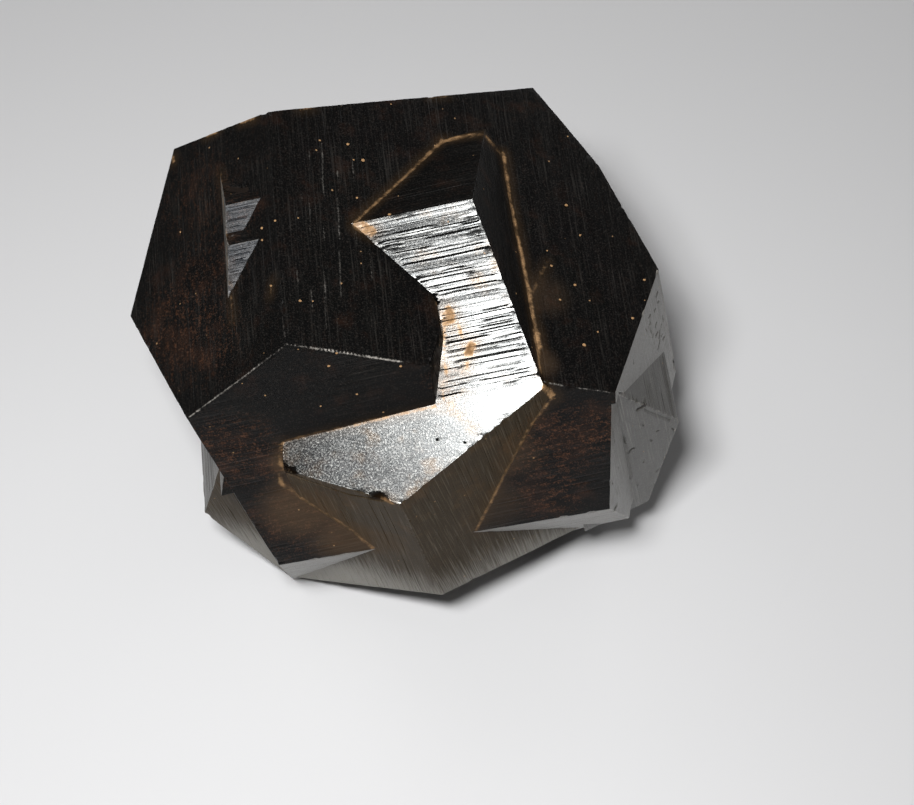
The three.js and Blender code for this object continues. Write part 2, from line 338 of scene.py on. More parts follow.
# Tan grains of dust that stuck to the faces, along the crystal axes
GRAINS = [
    (5.5, 7.4, 18.0), (9.1, 11.6, 16.5), (5.8, 5.9, 17.9), (6.5, 5.9, 17.6), (5.7, 2.3, 17.8),
    (8.1, 0.0, 18.0), (-1.1, -5.5, 20.0), (1.8, -7.2, 19.4), (-1.5, -0.1, 19.9), (-1.5, -1.1, 19.8),
    (-0.3, -0.1, 20.5), (3.1, -11.6, 18.8), (2.2, -12.0, 17.8), (7.3, -12.4, 16.4), (0.6, -13.3, 14.5),
    (3.5, -13.1, 14.8), (25.9, -6.2, 8.4), (24.7, -7.9, 8.9), (3.7, -19.4, 9.5), (19.2, -1.9, 11.6),
    (19.3, -3.3, 11.5), (19.5, -6.4, 11.3), (20.8, -5.0, 10.7), (21.7, -6.4, 10.3), (21.9, -9.2, 10.2),
    (20.7, -10.4, 10.7), (26.2, -4.3, 8.3), (21.3, 2.5, 10.7), (21.9, -0.3, 10.3), (3.5, 7.6, 19.0),
    (1.0, -7.2, 19.9), (-9.0, 3.7, 16.3),
]

# Mesh of the faces: pieces of every edge, points along the steps, the widest gap between rows, a row of
# points just inside every edge, and closer points over pits and the broken edge
EDGE_STEP = 0.28
ALONG_STEP = 0.55
WIDEST_ROW = 0.42
EDGE_BAND = 0.13
FINE_STEP = 0.13
PIT_OFFSETS = (-0.24, -0.12, 0.0, 0.12, 0.24)
PIT_ENDS = 0.12
BROKEN_OFFSETS = tuple(FINE_STEP * k for k in range(-8, 9))

# A pit or a bite gets closer points on the faces that lie this near to its line
ON_FACE = 0.5

# Triangles come out long along the steps, because places are squeezed by this share while they are joined
ALONG_SQUEEZE = 0.5
SAME_POINT = 1e-6

# Where triangles meet at more than this the edge is shaded sharp
SHARP_DEGREES = 14

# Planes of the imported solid: how flat a plane is, how nearly its triangles face the same way, the area in
# square mm below which a triangle has no direction of its own, and what counts as facing straight down
FLATNESS = 0.006
SAME_WAY = 0.9
SLIVER = 1e-3
STRAIGHT_DOWN = -0.999

# Growth steps: how much their widths and depths vary, the mean groove, its least and most share of that mean,
# the most of a step that it takes, the part of it that is its far wall, and how deep treads lie and lean
WIDTH_SPREAD = 0.40
DEPTH_SPREAD = 0.5
GROOVE = 0.12
GROOVE_RANGE = (0.7, 1.9)
GROOVE_MOST = 0.6
GROOVE_WALL = 0.4
TREAD_SINK = 0.3
TREAD_LEAN = 0.035
TREAD_LEANS = {"bright": -0.040}

# How the steps fade and stray: the dashes that they run in, how faint they are between dashes, how far apart
# in the noise two steps lie, the most mean depths that a step has, how far it strays sideways, over what
# length and width it does, and the size of the patches where steps show
DASH_LENGTH = 2.6
DASH_FADE = (0.34, 0.60)
FAINTEST = 0.1
APART_IN_NOISE = 7.3
DEEPEST_STEP = 2.5
STRAY = 0.16
STRAY_SIZE = (5.0, 3.0)
STEPPED_PATCH = 4.5

# Gentle swells that sink a face: depth, size and noise seed
SWELLS = [(0.030, 3.2, 47), (0.010, 0.7, 48)]

# Pits: their depth, and where their walls lie beside their lines
PIT_DEPTH = 0.14
PIT_WALL = (-0.02, 0.10)

# Wear of the sharp edges: a narrow rounding of uneven depth, and chips where rough noise of two sizes is high
SHARP_EDGE_DEGREES = 12
ROUNDING_DEPTH = 0.016
ROUNDING_WIDTH = 0.12
ROUNDING_SIZE = 0.9
CHIP_DEPTH = 0.14
CHIP_WALL = (0.05, 0.45)
CHIP_SIZES = (0.8, 0.35)
CHIP_SHARES = (0.6, 0.4)
CHIPPED = (0.66, 0.90)
CHIPPING = {"bright": 0.35}

# Bites out of the broken edge: their depth and roughness, how steep their walls are, how far they reach in
# (at least, for the large ones and for the small ones), their lengths, and where the large ones stand
BITE_DEPTH = 0.5
BITE_ROUGHNESS = 0.6
BITE_WALL = 0.12
BITE_REACH = (0.10, 0.50, 0.22)
BITE_SIZES = (1.7, 0.45)
BITTEN = (0.48, 0.80)
BITE_REACH_SHARE = {"bright": 1.0}
OTHER_BITE_REACH = 0.4

# Distances to lines and edges are measured no further than this
REACH = 3.0

# How stiffly an edge point follows faces that meet nearly flat
STIFFNESS = 0.02

# Share of a patch's radius over which it stays at its strongest
PATCH_CORE = 0.3

# Grains of dust: how deep they sit, their radius, width and height ranges, and how lumpy they are
GRAIN_SUNK = 0.04
GRAIN_RADIUS = (0.06, 0.15)
GRAIN_WIDTH = (0.7, 1.0)
GRAIN_HEIGHT = (0.5, 0.8)
LUMP_RANGE = (0.8, 0.4)
LUMP_SIZE = 1.2


def unit(vector):
    vector = np.asarray(vector, float)
    return vector / np.linalg.norm(vector)


def to_crystal(points):
    return (points - CENTRE) @ TURN


def to_row(points):
    return np.array(points, float) @ TURN.T + CENTRE


def hashed(cells, seed):
    """A number from 0 to 1 for each cell, mixed with large primes so that neighbours differ."""
    cells = cells.astype(np.int64)
    mixed = cells[:, 0] * 73856093 ^ cells[:, 1] * 19349663 ^ cells[:, 2] * 83492791 ^ seed * 2654435761
    mixed = (mixed ^ (mixed >> 13)) * 1274126177
    return ((mixed ^ (mixed >> 16)) & 0xFFFFF) / float(0xFFFFF)


def noise(points, size, seed):
    """Smooth noise from 0 to 1 over the points, with features about as large as size."""
    scaled = np.atleast_2d(points) / np.asarray(size, float)
    low = np.floor(scaled)
    part = scaled - low
    part = part * part * (3 - 2 * part)
    total = np.zeros(len(scaled))
    for corner in np.ndindex(2, 2, 2):
        weight = np.prod(np.where(corner, part, 1 - part), axis=1)
        total += weight * hashed(low + corner, seed)
    return total


def ramp(value, start, end):
    t = np.clip((value - start) / (end - start), 0, 1)
    return t * t * (3 - 2 * t)


def read_solid():
    """The node's corners and its triangles, with corners in the same place joined."""
    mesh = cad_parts[NODE].data
    mesh.calc_loop_triangles()
    corners = np.array([v.co for v in mesh.vertices], float) / MM
    triangles = np.array([t.vertices for t in mesh.loop_triangles])
    _, first, index = np.unique(np.round(corners, 3), axis=0, return_index=True, return_inverse=True)
    triangles = index.reshape(-1)[triangles]
    whole = [len(set(t)) == 3 for t in triangles.tolist()]
    return corners[first], triangles[whole]


def planes_of(corners, triangles):
    """Groups the triangles by plane. Gives each triangle's plane, and each plane's direction and distance."""
    a, b, c = (corners[triangles[:, i]] for i in range(3))
    cross = np.cross(b - a, c - a)
    area = np.linalg.norm(cross, axis=1) / 2
    plane = np.full(len(triangles), -1)
    found = []
    for i in np.argsort(-area):
        if plane[i] >= 0:
            continue
        direction = unit(cross[i])
        distance = direction @ a[i]
        near = np.all(np.abs(corners[triangles] @ direction - distance) < FLATNESS, axis=1)
        facing = (cross @ direction > SAME_WAY * 2 * area) | (area < SLIVER)
        plane[near & facing & (plane < 0)] = len(found)
        found.append((direction, distance))
    return plane, found


solid_corners, solid_triangles = read_solid()
plane_of, planes = planes_of(solid_corners, solid_triangles)


def face_of(direction, distance):
    """The finish and steps of the listed face that lies on this plane, or else the plain dull finish."""
    turned = direction @ TURN
    offset = distance - direction @ CENTRE
    for listed, listed_distance, *steps in FACES:
        if turned @ unit(listed) > SAME_DIRECTION and abs(offset - listed_distance) < SAME_DISTANCE:
            return steps
    return OTHER_FACE


def step_rows(low, high, width, depth, lean, seed):
    """Places of the growth steps across a face, with the heights there: a tread, then a narrow groove."""
    chance = np.random.default_rng(seed)
    rows, heights = [], []
    place = low - 2 * width
    while place < high + 2 * width:
        tread = width * chance.lognormal(0, WIDTH_SPREAD)
        groove = min(GROOVE * chance.uniform(*GROOVE_RANGE), GROOVE_MOST * tread)
        base = TREAD_SINK * depth * chance.random()
        tilt = lean * tread * chance.random()
        rows += [place, place + tread - groove, place + tread - GROOVE_WALL * groove]
        start, end = -base + min(tilt, 0), -base - max(tilt, 0)
        heights += [start, end, end - depth * chance.lognormal(0, DEPTH_SPREAD)]
        place += tread
    return np.array(rows), np.array(heights)


def distance_to(points, starts, ends):
    """Distance from each point to the nearest of the line pieces."""
    nearest = np.full(len(points), REACH)
    for start, end in zip(starts, ends):
        along = end - start
        t = np.clip((points - start) @ along / max(along @ along, 1e-12), 0, 1)
        nearest = np.minimum(nearest, np.linalg.norm(points - start - t[:, None] * along, axis=1))
    return nearest


def inside(flat, corners, triangles):
    """Which of the flat points lie in one of the flat triangles."""
    kept = np.zeros(len(flat), bool)
    for a, b, c in corners[triangles]:
        turns = [
            (q[0] - p[0]) * (flat[:, 1] - p[1]) - (q[1] - p[1]) * (flat[:, 0] - p[0])
            for p, q in ((a, b), (b, c), (c, a))
        ]
        kept |= (turns[0] >= 0) & (turns[1] >= 0) & (turns[2] >= 0)
    return kept


def plane_edges():
    """Edges between two planes: corner pair, the two planes, and whether the edge is sharp and stands out."""
    owners = {}
    for number, (a, b, c) in enumerate(solid_triangles.tolist()):
        for edge in ((a, b), (b, c), (c, a)):
            owners.setdefault(tuple(sorted(edge)), []).append(number)
    edges = []
    for (a, b), sides in owners.items():
        if len(sides) != 2 or plane_of[sides[0]] == plane_of[sides[1]]:
            continue
        first, second = (plane_of[s] for s in sides)
        out, distance = planes[first]
        heights = solid_corners[solid_triangles[sides[1]]] @ out - distance
        lift = heights[np.argmax(np.abs(heights))]
        angle = math.degrees(math.acos(np.clip(out @ planes[second][0], -1, 1)))
        edges.append((a, b, first, second, lift < 0 and angle > SHARP_EDGE_DEGREES))
    return edges


solid_edges = plane_edges()
sharp_lines = [(solid_corners[a], solid_corners[b]) for a, b, _, _, sharp in solid_edges if sharp]


def cut_edges():
    """Cuts every edge into short pieces. Gives all rim points, and each plane's rim pieces as point pairs."""
    points = [tuple(p) for p in solid_corners]
    pieces = {}
    for a, b, first, second, _ in solid_edges:
        start, end = solid_corners[a], solid_corners[b]
        count = max(1, round(np.linalg.norm(end - start) / EDGE_STEP))
        chain = [a]
        for k in range(1, count):
            chain.append(len(points))
            points.append(tuple(start + (end - start) * k / count))
        chain.append(b)
        for plane in (first, second):
            pieces.setdefault(plane, []).extend(zip(chain[:-1], chain[1:]))
    return np.array(points), pieces


rim_points, rim_pieces = cut_edges()


def near_lines(lines, low, high):
    """The starts and ends of the lines that pass within reach of a box."""
    kept = [
        (s, e) for s, e in lines
        if np.all(np.minimum(s, e) < high + REACH) and np.all(np.maximum(s, e) > low - REACH)
    ]
    return [s for s, _ in kept], [e for _, e in kept]


def along_lines(points, lines):
    """Distance to the nearest of the lines, less its half width, and that line's share."""
    nearest, load = np.full(len(points), REACH), np.zeros(len(points))
    for line, width, amount in lines:
        line = to_row(line)
        apart = distance_to(points, line[:-1], line[1:]) - width
        load = np.where(apart < nearest, amount, load)
        nearest = np.minimum(nearest, apart)
    return nearest, load


class Face:
    """One flat face of the solid: its own directions along and across the growth steps, and its heights."""

    def __init__(self, number):
        self.number = number
        self.out, self.distance = planes[number]
        self.finish, width, self.depth, self.share = face_of(self.out, self.distance)
        quiet_axis = TURN[:, np.argmin(np.abs(self.out @ TURN))]
        self.along = unit(quiet_axis - (quiet_axis @ self.out) * self.out)
        self.across = np.cross(self.out, self.along)
        self.triangles = solid_triangles[plane_of == number]
        used = solid_corners[np.unique(self.triangles)]
        flat = self.flatten(used)
        self.flat_low, self.flat_high = flat.min(0), flat.max(0)
        self.rests = self.out[2] < STRAIGHT_DOWN
        lean = TREAD_LEANS.get(self.finish, TREAD_LEAN)
        self.rows, self.row_heights = step_rows(
            self.flat_low[1], self.flat_high[1], width, self.depth, lean, 100 + number)
        self.edges = near_lines(sharp_lines, used.min(0), used.max(0))

    def flatten(self, points):
        return np.stack([points @ self.along, points @ self.across], axis=1)

    def lift(self, flat):
        return flat[:, :1] * self.along + flat[:, 1:] * self.across + self.distance * self.out

    def wander(self, flat):
        """How far the growth steps stray sideways at each point."""
        spread = np.stack([*(flat / STRAY_SIZE).T, np.full(len(flat), self.number)], axis=1)
        return STRAY * (noise(spread, 1, 35) - 0.5)

    def strength(self, points):
        """How strongly the growth steps show at each point, from 0 to 1."""
        shown = ramp(noise(points, STEPPED_PATCH, 31), 0.75 - self.share, 1.05 - self.share)
        if self.finish == "bright":
            shown = shown * ramp(to_crystal(points)[:, 1], *BRIGHT_STEPS_BEHIND)
        return shown

    def steps(self, points):
        """Height of the growth steps at each point. Each step runs in dashes, and so fades here and there."""
        flat = self.flatten(points)
        across = flat[:, 1] - self.wander(flat)
        after = np.clip(np.searchsorted(self.rows, across), 1, len(self.rows) - 1)
        steps = np.zeros(len(points))
        share = (across - self.rows[after - 1]) / np.diff(self.rows)[after - 1]
        for row, weight in ((after - 1, 1 - share), (after, share)):
            step = row // 3 * APART_IN_NOISE
            run = np.stack([flat[:, 0] / DASH_LENGTH, step, np.full(len(flat), self.number)], axis=1)
            dash = FAINTEST + (1 - FAINTEST) * ramp(noise(run, 1, 33), *DASH_FADE)
            steps += weight * dash * self.row_heights[row]
        return np.maximum(steps, -DEEPEST_STEP * self.depth) * self.strength(points)

    def heights(self, points, edge_distance):
        """Height over the flat face at each point, never above 0, and how much painted shade the bites lay on
        it.
        """
        if self.rests:
            return np.zeros(len(points)), np.zeros(len(points))
        swell = sum(-depth * noise(points, size, seed) for depth, size, seed in SWELLS)
        pit_distance, pit_load = along_lines(points, PIT_LINES)
        pits = PIT_DEPTH * pit_load * (1 - ramp(pit_distance, *PIT_WALL))
        chips, broken = chip_depth(points, edge_distance, BITE_REACH_SHARE.get(self.finish, OTHER_BITE_REACH))
        chips = chips * np.where(broken > 0, 1, CHIPPING.get(self.finish, 1))
        return np.minimum(self.steps(points) + swell, 0) - pits - chips, broken


def chip_depth(points, edge_distance, reach_share):
    """Wear along the edges: a narrow rounding, chips here and there, and bites out of the broken edge."""
    uneven = 0.5 + noise(points, ROUNDING_SIZE, 61)
    rounding = ROUNDING_DEPTH * uneven * (1 - ramp(edge_distance, 0, ROUNDING_WIDTH))
    (coarse_size, fine_size), (coarse_share, fine_share) = CHIP_SIZES, CHIP_SHARES
    rough = noise(points, coarse_size, 62) * coarse_share + noise(points, fine_size, 63) * fine_share
    chips = CHIP_DEPTH * ramp(rough, *CHIPPED) * (1 - ramp(edge_distance, *CHIP_WALL))
    line = to_row(BROKEN_LINE)
    apart = distance_to(points, line[:-1], line[1:])
    along = (points @ unit(line[-1] - line[0]))[:, None] * [1, 0, 0]
    (least, large, small), (large_size, small_size) = BITE_REACH, BITE_SIZES
    reach = least + large * ramp(noise(along, large_size, 64), *BITTEN) + small * noise(along, small_size, 65)
    reach = reach * reach_share
    bites = 1 - ramp(apart, reach - BITE_WALL, reach)
    return rounding + chips + BITE_DEPTH * bites * noise(points, BITE_ROUGHNESS, 66), bites


def fill_points(face, flat_rim, rim):
    """Points inside a face: rows along the growth steps, and a row just inside every edge."""
    low, high = face.flat_low, face.flat_high
    rows = face.rows[(face.rows > low[1]) & (face.rows < high[1])]
    wide = np.diff(rows) > WIDEST_ROW
    rows = np.sort(np.concatenate([rows, ((rows[:-1] + rows[1:]) / 2)[wide]]))
    stops = np.arange(low[0], high[0], ALONG_STEP)
    grid = np.stack(np.meshgrid(stops, rows, indexing="ij"), axis=-1).reshape(-1, 2)
    grid[:, 1] += face.wander(grid)
    starts, ends = flat_rim[rim[:, 0]], flat_rim[rim[:, 1]]
    middle, run = (starts + ends) / 2, ends - starts
    side = np.stack([-run[:, 1], run[:, 0]], axis=1)
    side = side / np.maximum(np.linalg.norm(side, axis=1, keepdims=True), 1e-9) * EDGE_BAND
    band = np.concatenate([middle + side, middle - side])
    return np.concatenate([grid, *fine_rows(face)]), band


def fine_rows(face):
    """Closer points beside the pits, cracks and the broken edge that cross a face."""
    rows = []
    for line, offsets in [(line, PIT_OFFSETS) for line, _, _ in PIT_LINES] + [(BROKEN_LINE, BROKEN_OFFSETS)]:
        line = to_row(line)
        for start, end in zip(line[:-1], line[1:]):
            ends = np.array([start, end])
            if np.any(np.abs(ends @ face.out - face.distance) > ON_FACE):
                continue
            start, end = face.flatten(ends)
            run = unit(end - start)
            side = np.array([-run[1], run[0]])
            stops = np.arange(-PIT_ENDS, np.linalg.norm(end - start) + PIT_ENDS, FINE_STEP)
            for offset in offsets:
                rows.append(start + stops[:, None] * run + offset * side)
    return rows


def clear_of_rim(flat, starts, ends, gap):
    """Which of the flat points lie at least that gap away from the rim."""
    kept = np.ones(len(flat), bool)
    for s, e in zip(starts, ends):
        close = np.all(np.abs(flat - (s + e) / 2) < np.abs(e - s) / 2 + gap, axis=1) & kept
        if not close.any():
            continue
        run = e - s
        t = np.clip((flat[close] - s) @ run / max(run @ run, 1e-12), 0, 1)
        apart = np.linalg.norm(flat[close] - s - t[:, None] * run, axis=1)
        kept[np.flatnonzero(close)[apart < gap]] = False
    return kept


def mesh_face(face):
    """Triangles of one face over its rim points and its own inner points, long along the growth steps."""
    rim = np.array(rim_pieces[face.number])
    used, rim = np.unique(rim, return_inverse=True)
    rim = rim.reshape(-1, 2)
    flat_rim = face.flatten(rim_points[used])
    region = face.flatten(solid_corners)
    grid, band = fill_points(face, flat_rim, rim)
    grid = grid[inside(grid, region, face.triangles)]
    band = band[inside(band, region, face.triangles)]
    starts, ends = flat_rim[rim[:, 0]], flat_rim[rim[:, 1]]
    grid = grid[clear_of_rim(grid, starts, ends, EDGE_BAND * 1.6)]
    band = band[clear_of_rim(band, starts, ends, EDGE_BAND * 0.8)]
    squeeze = np.array([ALONG_SQUEEZE, 1])
    squeezed = [Vector(p) for p in np.concatenate([flat_rim, band, grid]) * squeeze]
    places, _, made, sources, *_ = delaunay_2d_cdt(
        squeezed, [tuple(r) for r in rim.tolist()], [], 0, SAME_POINT, True)
    places = np.array([tuple(p) for p in places]) / squeeze
    made = np.array(made)
    made = made[inside(places[made].mean(axis=1), region, face.triangles)]
    return used, places, made, sources


faces = [Face(n) for n in range(len(planes)) if n in rim_pieces]


def rim_shifts(rim_heights):
    """How far each rim point moves so that it lies on all of its faces once they have sunk."""
    shifts = np.zeros_like(rim_points)
    for point, depths in rim_heights.items():
        outward = np.array([planes[p][0] for p in depths])
        depth = np.array(list(depths.values()))
        square = outward @ outward.T + STIFFNESS * np.eye(len(depth))
        shifts[point] = outward.T @ np.linalg.solve(square, depth)
    return shifts


def build_cluster():
    """All the faces, joined at their rim points: places, triangles, flat places, finishes and measures."""
    places, stepped = [rim_points.copy()], [np.zeros(len(rim_points))]
    edge, broken = [np.full(len(rim_points), REACH)], [np.zeros(len(rim_points))]
    triangles, grain, finish = [], [], []
    rim_heights = {}
    count = len(rim_points)
    for face in faces:
        used, flat, made, sources = mesh_face(face)
        number = np.full(len(flat), -1)
        for new, old in enumerate(sources):
            rims = [o for o in old if o < len(used)]
            if rims:
                number[new] = used[rims[0]]
        lifted = face.lift(flat)
        inner = number < 0
        on_rim = ~inner
        apart = distance_to(lifted, *face.edges)
        depth, bites = face.heights(lifted, apart)
        strength = face.strength(lifted)
        for point, value in zip(number[on_rim], depth[on_rim]):
            rim_heights.setdefault(int(point), {})[face.number] = value
        np.maximum.at(stepped[0], number[on_rim], strength[on_rim])
        np.minimum.at(edge[0], number[on_rim], apart[on_rim])
        np.maximum.at(broken[0], number[on_rim], bites[on_rim])
        number[inner] = count + np.arange(inner.sum())
        count += inner.sum()
        places.append(lifted[inner] + depth[inner, None] * face.out)
        stepped.append(strength[inner])
        edge.append(apart[inner])
        broken.append(bites[inner])
        triangles.append(number[made])
        grain.append(flat[made])
        finish += [FINISH_ORDER.index(face.finish)] * len(made)
    places[0] += rim_shifts(rim_heights)
    measures = {"stepped": stepped, "edge_mm": edge, "broken": broken}
    measures = {key: np.concatenate(parts) for key, parts in measures.items()}
    return np.concatenate(places), np.concatenate(triangles), np.concatenate(grain), finish, measures


def patches(points, spots):
    """Share of the strongest patch at each point, fading out to each patch's radius."""
    share = np.zeros(len(points))
    for place, radius, amount in spots:
        apart = np.linalg.norm(points - to_row(place), axis=1)
        share = np.maximum(share, amount * (1 - ramp(apart, PATCH_CORE * radius, radius)))
    return share


def new_object(name, data):
    made = bpy.data.objects.new(name, data)
    bpy.context.scene.collection.objects.link(made)
    return made


def mesh_object(name, places, triangles, grain, finish, measures):
    mesh = bpy.data.meshes.new(name)
    mesh.from_pydata((places * MM).tolist(), [], triangles.tolist())
    layer = mesh.uv_layers.new(name="grain")
    layer.data.foreach_set("uv", grain.astype(np.float32).ravel())
    for key, values in measures.items():
        mesh.attributes.new(key, "FLOAT", "POINT").data.foreach_set("value", values.astype(np.float32))
    mesh.polygons.foreach_set("material_index", np.array(finish, np.int32))
    mesh.polygons.foreach_set("use_smooth", np.ones(len(triangles), bool))
    mesh.set_sharp_from_angle(angle=math.radians(SHARP_DEGREES))
    return new_object(name, mesh)


def linear(code):
    """A colour written as sRGB hex, turned to linear with full opacity."""
    parts = [int(code[i:i + 2], 16) / 255 for i in (1, 3, 5)]
    return tuple(c / 12.92 if c <= 0.04045 else ((c + 0.055) / 1.055) ** 2.4 for c in parts) + (1.0,)


def add(tree, kind, inputs=(), out=0, **settings):
    """Adds a node with its settings, links or fills its inputs, in order or by name, and gives one output."""
    made = tree.nodes.new(kind)
    for key, value in settings.items():
        setattr(made, key, value)
    for key, value in inputs.items() if isinstance(inputs, dict) else enumerate(inputs):
        if isinstance(value, bpy.types.NodeSocket):
            tree.links.new(value, made.inputs[key])
        else:
            made.inputs[key].default_value = value
    return made.outputs[out] if made.outputs else made


# A map range node turns values between its first two numbers to shares between its last two, or else between
# 0 and 1, with soft ends. The noise patterns mostly lie between 0.3 and 0.7
SOFT = {"interpolation_type": "SMOOTHSTEP"}

# Input numbers of a mix node for colours and for numbers, and its colour output
SHARE, COLOUR_BELOW, COLOUR_ABOVE, COLOUR_OUT = 0, 6, 7, 2
NUMBER_BELOW, NUMBER_ABOVE = 2, 3


def face_patterns(node):
    """The patterns in a face's finish, each at its real size, and the measures that its mesh carries."""
    metres = node("ShaderNodeTexCoord", out="Object")
    place = node("ShaderNodeVectorMath", {0: metres, "Scale": 1 / MM}, operation="SCALE")
    flat = node("ShaderNodeUVMap", uv_map="grain")
    found = {"place": place}
    for name, (length, width, detail, rough) in LINED_PATTERNS.items():
        stretched = node("ShaderNodeVectorMath", (flat, (1 / length, 1 / width, 1)), operation="MULTIPLY")
        found[name] = node("ShaderNodeTexNoise", {
            "Vector": stretched, "Scale": 1, "Detail": detail, "Roughness": rough})
    for name, (size, detail, rough) in EVEN_PATTERNS.items():
        found[name] = node("ShaderNodeTexNoise", {
            "Vector": place, "Scale": 1 / size, "Detail": detail, "Roughness": rough})
    for name in ("rust", "film", "stepped", "edge_mm", "worn_mm", "worn_load", "pit_mm", "pit_load", "broken",
                 "dust_mm", "dust_load"):
        found[name] = node("ShaderNodeAttribute", out="Fac", attribute_name=name)
    found["uneven"] = node("ShaderNodeMath", (found["flecks"], 0.5), operation="SUBTRACT")
    found["lumpy"] = node("ShaderNodeMath", (found["crumbs"], 0.5), operation="SUBTRACT")
    found["grown"] = node("ShaderNodeMapRange", (found["stepped"], 0.0, 0.6, 0.15, 1.0), **SOFT)
    return SimpleNamespace(**found)


def weathered_layers(node, marks, finish):
    """Brown blotches and rusty mottling in the oxide, paler grey low down, brown film beside the creases, and
    pale specks that on the dull faces are painted glints.
    """
    brown = node("ShaderNodeMath", (marks.rust, 0.12, marks.blotches), operation="MULTIPLY_ADD")
    brown = node("ShaderNodeMapRange", (brown, 0.52, 0.80, 0.0, 0.8), **SOFT)
    streaked = node("ShaderNodeMath", (marks.streaks, 0.36), operation="MULTIPLY")
    mottled = node("ShaderNodeMath", (marks.flecks, marks.specks), operation="ADD")
    mottled = node("ShaderNodeMath", (mottled, 0.32, streaked), operation="MULTIPLY_ADD")
    mottled = node("ShaderNodeMapRange", (mottled, 0.50, 0.60), **SOFT)
    rusty = node("ShaderNodeMath", (marks.rust, 0.70, 0.03), operation="MULTIPLY_ADD")
    rusty = node("ShaderNodeMath", (mottled, rusty), operation="MULTIPLY")
    layers = [(brown, linear(finish["warm"])), (rusty, linear(RUST_ORANGE))]
    if finish["greying"]:
        low = node("ShaderNodeAttribute", out="Fac", attribute_name="low")
        lined = node("ShaderNodeMath", (marks.lines, 0.5), operation="SUBTRACT")
        # Paler grey towards the ground
        clay = node("ShaderNodeMath", (lined, 1.2, low), operation="MULTIPLY_ADD")
        clay = node("ShaderNodeMapRange", (clay, 0.0, 0.80, 0.0, finish["greying"]), **SOFT)
        layers.append((clay, linear(GROUND_GREY)))
    film = node("ShaderNodeMapRange", (marks.lines, 0.2, 0.8, 0.4, 0.75), **SOFT)
    film = node("ShaderNodeMath", (marks.film, film), operation="MULTIPLY")
    # Pale specks: the oxide's grain, and on the dull dark faces painted glints of tiny sparkles
    specks_and_glints = node("ShaderNodeMapRange", (marks.specks, 0.50, 0.72, 0.0, finish["speckle"]), **SOFT)
    return layers + [(film, linear(BROWN_FILM)), (specks_and_glints, linear(finish["pale"]))]


def rubbed_layers(node, marks, finish):
    """Brown left in the hollows of a much rubbed face, pale growth lines, pale rubbed streaks, and pale edge
    rims that are rubbed wear and painted highlight.
    """
    layers = []
    if finish["edge_wear_and_highlight"] > MUCH_RUBBED:
        coarse = node("ShaderNodeMath", (marks.crumbs, 0.35), operation="MULTIPLY")
        hollows = node("ShaderNodeMath", (marks.flecks, 0.65, coarse), operation="MULTIPLY_ADD")
        hollows = node("ShaderNodeMapRange", (hollows, 0.50, 0.56, 0.0, 0.60), **SOFT)
        layers.append((hollows, linear(finish["warm"])))
    lined = node("ShaderNodeMapRange", (marks.lines, 0.50, 0.68, 0.0, finish["speckle"]), **SOFT)
    banded = node("ShaderNodeMapRange", (marks.bands, 0.40, 0.62, 0.25, 1.0), **SOFT)
    lined = node("ShaderNodeMath", (lined, banded), operation="MULTIPLY")
    lined = node("ShaderNodeMath", (lined, marks.grown), operation="MULTIPLY")
    # Pale rim along the sharp edges: rubbed wear, and painted highlight of the edge bevels
    edge = node("ShaderNodeMath", (marks.uneven, -EDGE_RAGGED, marks.edge_mm), operation="MULTIPLY_ADD")
    edge = node("ShaderNodeMapRange", (edge, *EDGE_FADE), **SOFT)
    patchy = node("ShaderNodeMapRange", (marks.crumbs, 0.40, 0.60, 0.0, finish["edge_wear_and_highlight"]), **SOFT)
    edge = node("ShaderNodeMath", (edge, patchy), operation="MULTIPLY")
    worn = node("ShaderNodeMath", (marks.uneven, -WORN_RAGGED, marks.worn_mm), operation="MULTIPLY_ADD")
    worn = node("ShaderNodeMapRange", (worn, *WORN_FADE), **SOFT)
    patchy = node("ShaderNodeMapRange", (marks.crumbs, 0.40, 0.62, 0.35, 1.0), **SOFT)
    patchy = node("ShaderNodeMath", (patchy, marks.worn_load), operation="MULTIPLY")
    worn = node("ShaderNodeMath", (worn, patchy), operation="MULTIPLY")
    rubbed = linear(PALE_WEAR_AND_HIGHLIGHT)
    return layers + [(lined, linear(finish["pale"])), (edge, rubbed), (worn, rubbed)]


def painted_pit_shade(node, marks):
    """How much dark painted shade fills the pits, cracks and bites."""
    pits = node("ShaderNodeMapRange", (marks.pit_mm, *PIT_FADE), **SOFT)
    pits = node("ShaderNodeMath", (pits, marks.pit_load), operation="MULTIPLY")
    return node("ShaderNodeMath", (pits, marks.broken), operation="MAXIMUM")


